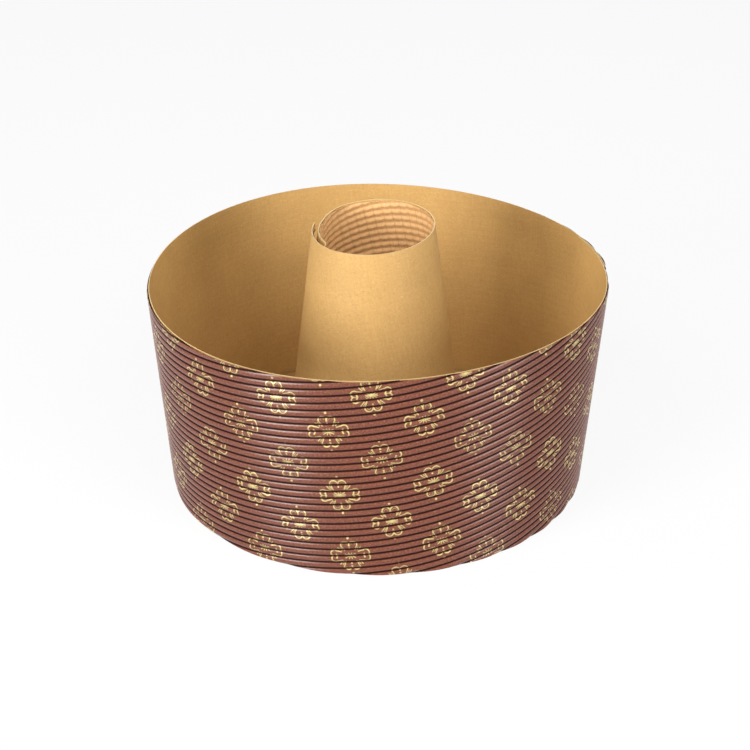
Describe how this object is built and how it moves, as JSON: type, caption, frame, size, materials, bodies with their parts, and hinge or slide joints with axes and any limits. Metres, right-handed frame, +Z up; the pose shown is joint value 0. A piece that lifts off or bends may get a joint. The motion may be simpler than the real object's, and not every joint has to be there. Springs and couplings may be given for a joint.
{
  "type": "paper chiffon cake mold",
  "caption": "Round paper baking mold for a ring cake: fluted printed wall, flat base ring and a tall tapered centre tube open right through.",
  "frame": {"origin": "middle of the footprint, on the surface the mold stands on", "axes": "+Z up along the centre tube, -Y towards the front seen in the picture, +X to its right"},
  "size_m": [0.1704, 0.1698, 0.1009],
  "materials": {
    "printed_fluted_paper": "brown print with pale gold ornament on satin fluted paper, kraft inside",
    "base_board": "matt greaseproof kraft board",
    "kraft_fluted_paper": "matt greaseproof kraft paper, smooth outside and fluted inside"
  },
  "bodies": {
    "root": {"outer_wall": "printed_fluted_paper", "base_ring": "base_board", "centre_tube": "kraft_fluted_paper"}
  },
  "joints": []
}
